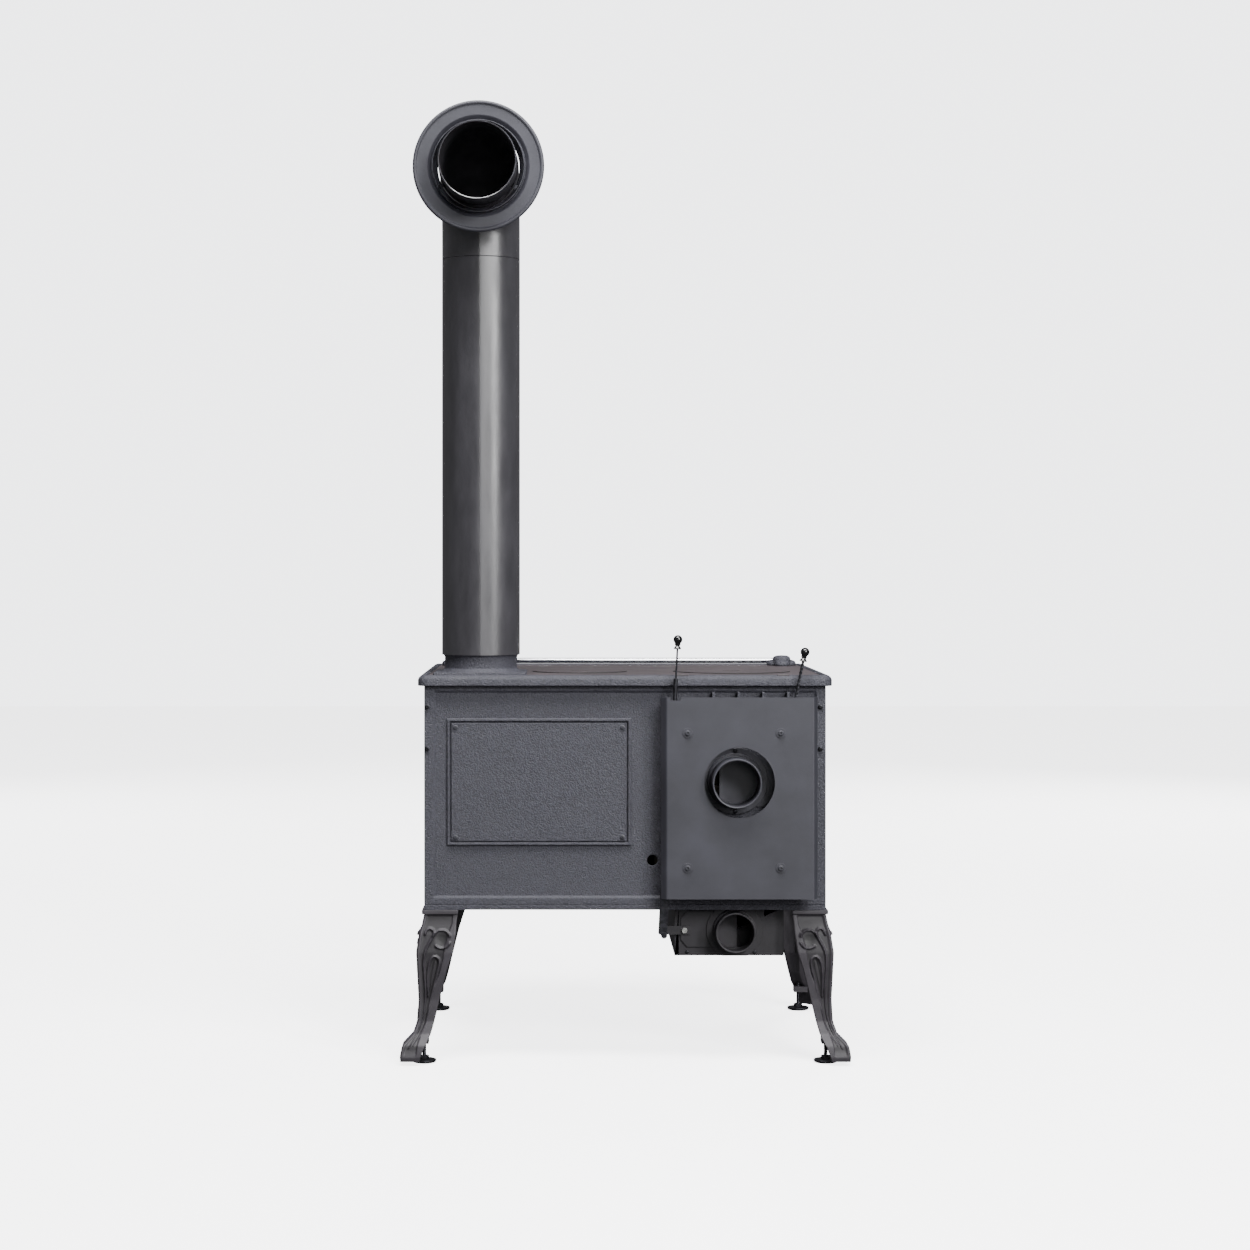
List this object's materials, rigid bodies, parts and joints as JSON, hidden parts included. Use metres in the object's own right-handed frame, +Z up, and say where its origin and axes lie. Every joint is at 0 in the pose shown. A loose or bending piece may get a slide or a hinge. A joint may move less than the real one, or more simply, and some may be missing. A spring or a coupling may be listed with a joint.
{
  "type": "wood burning stove",
  "caption": "Cast-iron wood burning cook stove on cabriole legs, with oven, hob plates, towel rail, flue pipe with elbow and wall rosette, and lever-worked air inlets.",
  "frame": {"origin": "on the floor, at the centre of the whole object's footprint", "axes": "+Z up, the doors face -Y and the wall side faces +Y, the flue stands at +X"},
  "size_m": [0.864, 0.745, 1.8505],
  "materials": {
    "cast_iron": "matt stove paint on sand-cast iron",
    "hob_iron": "seasoned bare cast iron",
    "sheet_steel": "matt black heat-resistant paint on sheet steel",
    "dark_steel": "blackened steel",
    "zinc": "bright zinc plating",
    "chrome": "polished chrome plating",
    "knob": "glossy black phenolic",
    "firebrick": "dry vermiculite board",
    "glass": "clear ceramic glass"
  },
  "bodies": {
    "stove": {"base_plate": "cast_iron", "side_plate_left": "cast_iron", "side_plate_right": "cast_iron", "rear_plate": "cast_iron", "front_frame": "cast_iron", "oven_access_cover": "cast_iron", "grate": "cast_iron", "flue_collar": "cast_iron", "leg_front_left": "cast_iron", "leg_front_right": "cast_iron", "leg_rear_left": "cast_iron", "leg_rear_right": "cast_iron", "cooktop": "hob_iron", "rail_bracket_left": "hob_iron", "rail_bracket_right": "hob_iron", "baffle_plate": "sheet_steel", "oven_box": "sheet_steel", "flue_pipe": "sheet_steel", "flue_elbow": "sheet_steel", "heat_shield": "sheet_steel", "upper_air_spigot": "sheet_steel", "air_box": "sheet_steel", "lower_air_spigot": "sheet_steel", "lever_guide": "sheet_steel", "cover_screw_1": "dark_steel", "cover_screw_2": "dark_steel", "cover_screw_3": "dark_steel", "cover_screw_4": "dark_steel", "side_bolt_1": "dark_steel", "side_bolt_2": "dark_steel", "side_bolt_3": "dark_steel", "side_bolt_4": "dark_steel", "shield_bolt_1": "dark_steel", "shield_bolt_2": "dark_steel", "shield_bolt_3": "dark_steel", "shield_bolt_4": "dark_steel", "towel_rail": "chrome", "firebox_liner": "firebrick"},
    "firebox_door": {"firebox_door": "cast_iron", "firebox_glass": "glass"},
    "firebox_handle": {"firebox_handle": "chrome"},
    "oven_door": {"oven_door": "cast_iron"},
    "oven_handle": {"oven_handle": "chrome"},
    "ash_drawer": {"ash_drawer": "sheet_steel"},
    "oven_rack": {"oven_rack": "chrome"},
    "lower_air_lever": {"lower_air_lever": "dark_steel", "lower_lever_knob": "knob"},
    "lower_air_slide": {"lower_air_slide": "sheet_steel", "link_strip": "sheet_steel", "link_bolt": "zinc"},
    "upper_air_lever": {"upper_air_lever": "dark_steel", "upper_lever_knob": "knob"},
    "upper_air_slide": {"upper_air_slide": "sheet_steel"},
    "hot_plate_large": {"hot_plate_large": "hob_iron"},
    "hot_plate_small": {"hot_plate_small": "hob_iron"},
    "wall_rosette": {"wall_rosette": "sheet_steel"},
    "levelling_foot_front_left": {"levelling_foot_front_left": "dark_steel"},
    "levelling_foot_front_right": {"levelling_foot_front_right": "dark_steel"},
    "levelling_foot_rear_left": {"levelling_foot_rear_left": "dark_steel"},
    "levelling_foot_rear_right": {"levelling_foot_rear_right": "dark_steel"}
  },
  "joints": [
    {"name": "firebox_door_swing", "type": "hinge", "parent": "stove", "child": "firebox_door", "pos_m": [-0.3675, -0.3165, 0.525], "axis": [0, 0, 1], "range_deg": [-110, 0]},
    {"name": "firebox_handle_turn", "type": "hinge", "parent": "firebox_door", "child": "firebox_handle", "pos_m": [-0.082, -0.3188, 0.535], "axis": [0, 1, 0], "range_deg": [0, 60]},
    {"name": "oven_door_swing", "type": "hinge", "parent": "stove", "child": "oven_door", "pos_m": [0.3575, -0.3165, 0.5125], "axis": [0, 0, 1], "range_deg": [0, 110]},
    {"name": "oven_handle_turn", "type": "hinge", "parent": "oven_door", "child": "oven_handle", "pos_m": [-0.026, -0.3188, 0.535], "axis": [0, 1, 0], "range_deg": [-60, 0]},
    {"name": "ash_drawer_travel", "type": "slide", "parent": "stove", "child": "ash_drawer", "axis": [0, -1, 0], "range_m": [0, 0.38]},
    {"name": "oven_rack_travel", "type": "slide", "parent": "stove", "child": "oven_rack", "axis": [0, -1, 0], "range_m": [0, 0.07]},
    {"name": "lower_lever_swing", "type": "hinge", "parent": "stove", "child": "lower_air_lever", "pos_m": [-0.0898, 0.293, 0.6], "axis": [0, 1, 0], "range_deg": [-6.4, 4.7]},
    {"name": "lower_slide_travel", "type": "slide", "parent": "stove", "child": "lower_air_slide", "axis": [1, 0, 0], "range_m": [-0.03, 0.041]},
    {"name": "upper_lever_swing", "type": "hinge", "parent": "stove", "child": "upper_air_lever", "pos_m": [-0.3184, 0.293, 0.66], "axis": [0, 1, 0], "range_deg": [-3, 24]},
    {"name": "upper_slide_travel", "type": "slide", "parent": "stove", "child": "upper_air_slide", "axis": [1, 0, 0], "range_m": [-0.05, 0.007]},
    {"name": "hot_plate_large_lift", "type": "slide", "parent": "stove", "child": "hot_plate_large", "axis": [0, 0, 1], "range_m": [0, 0.06]},
    {"name": "hot_plate_small_lift", "type": "slide", "parent": "stove", "child": "hot_plate_small", "axis": [0, 0, 1], "range_m": [0, 0.06]},
    {"name": "wall_rosette_travel", "type": "slide", "parent": "stove", "child": "wall_rosette", "axis": [0, 1, 0], "range_m": [-0.012, 0.06]},
    {"name": "levelling_foot_front_left_screw", "type": "slide", "parent": "stove", "child": "levelling_foot_front_left", "axis": [0, 0, -1], "range_m": [-0.002, 0.01]},
    {"name": "levelling_foot_front_right_screw", "type": "slide", "parent": "stove", "child": "levelling_foot_front_right", "axis": [0, 0, -1], "range_m": [-0.002, 0.01]},
    {"name": "levelling_foot_rear_left_screw", "type": "slide", "parent": "stove", "child": "levelling_foot_rear_left", "axis": [0, 0, -1], "range_m": [-0.002, 0.01]},
    {"name": "levelling_foot_rear_right_screw", "type": "slide", "parent": "stove", "child": "levelling_foot_rear_right", "axis": [0, 0, -1], "range_m": [-0.002, 0.01]}
  ],
  "couplings": [
    {"joint": "lower_slide_travel", "follows": "lower_lever_swing", "m_per_rad": -0.353},
    {"joint": "upper_slide_travel", "follows": "upper_lever_swing", "m_per_rad": -0.118}
  ]
}
